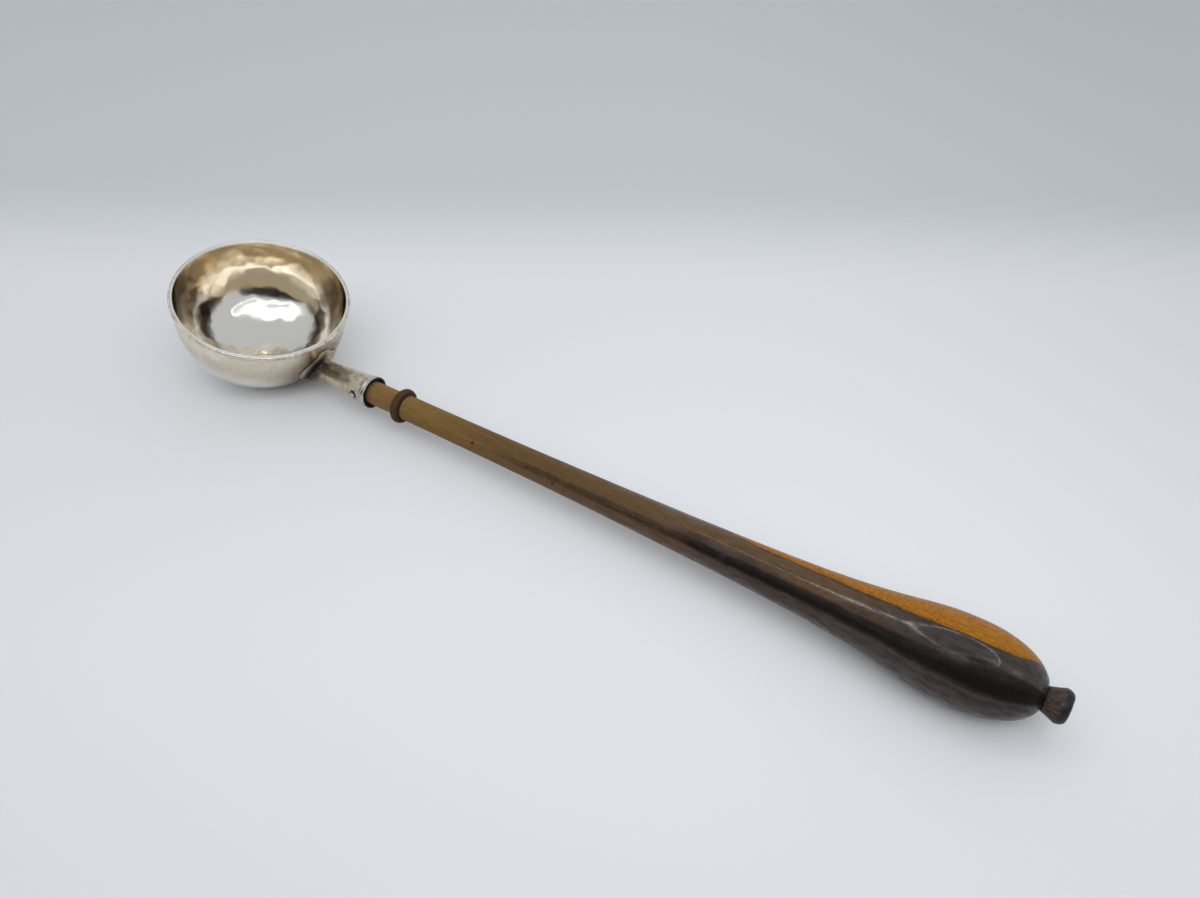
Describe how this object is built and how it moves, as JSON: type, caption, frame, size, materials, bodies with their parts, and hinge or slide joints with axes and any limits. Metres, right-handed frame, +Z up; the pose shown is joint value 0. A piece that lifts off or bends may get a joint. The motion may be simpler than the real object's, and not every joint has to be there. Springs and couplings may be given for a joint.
{
  "type": "punch ladle",
  "caption": "Rigid punch ladle: a deep round-bottomed silver bowl with a rim moulding, a tapered socket and a long turned wooden handle that swells to a club with a flared end peg.",
  "frame": {"origin": "centre of the ladle's length and width, on the plane that it lies on", "axes": "+X along the ladle from the bowl to the end peg, +Z up out of the table, +Y to the left when looking along +X"},
  "size_m": [0.3904, 0.076, 0.0486],
  "materials": {
    "bowl_silver": "polished, faintly hammered, lightly tarnished",
    "rim_silver": "polished",
    "plate_silver": "worn, dark tarnish round the joint",
    "socket_silver": "worn, uneven, tarnished",
    "collar_silver": "polished on its reeds, dark in the groove",
    "pin_silver": "hammered rivet head",
    "pitch": "dull black pitch",
    "handle_wood": "waxed dark hardwood with a light streak",
    "peg_wood": "waxed dark hardwood, near black at the tip"
  },
  "bodies": {
    "root": {"bowl": "bowl_silver", "rim_wire": "rim_silver", "joint_plate": "plate_silver", "socket": "socket_silver", "socket_collar": "collar_silver", "socket_pin": "pin_silver", "pitch_bedding": "pitch", "handle_shaft": "handle_wood", "finial_peg": "peg_wood"}
  },
  "joints": []
}
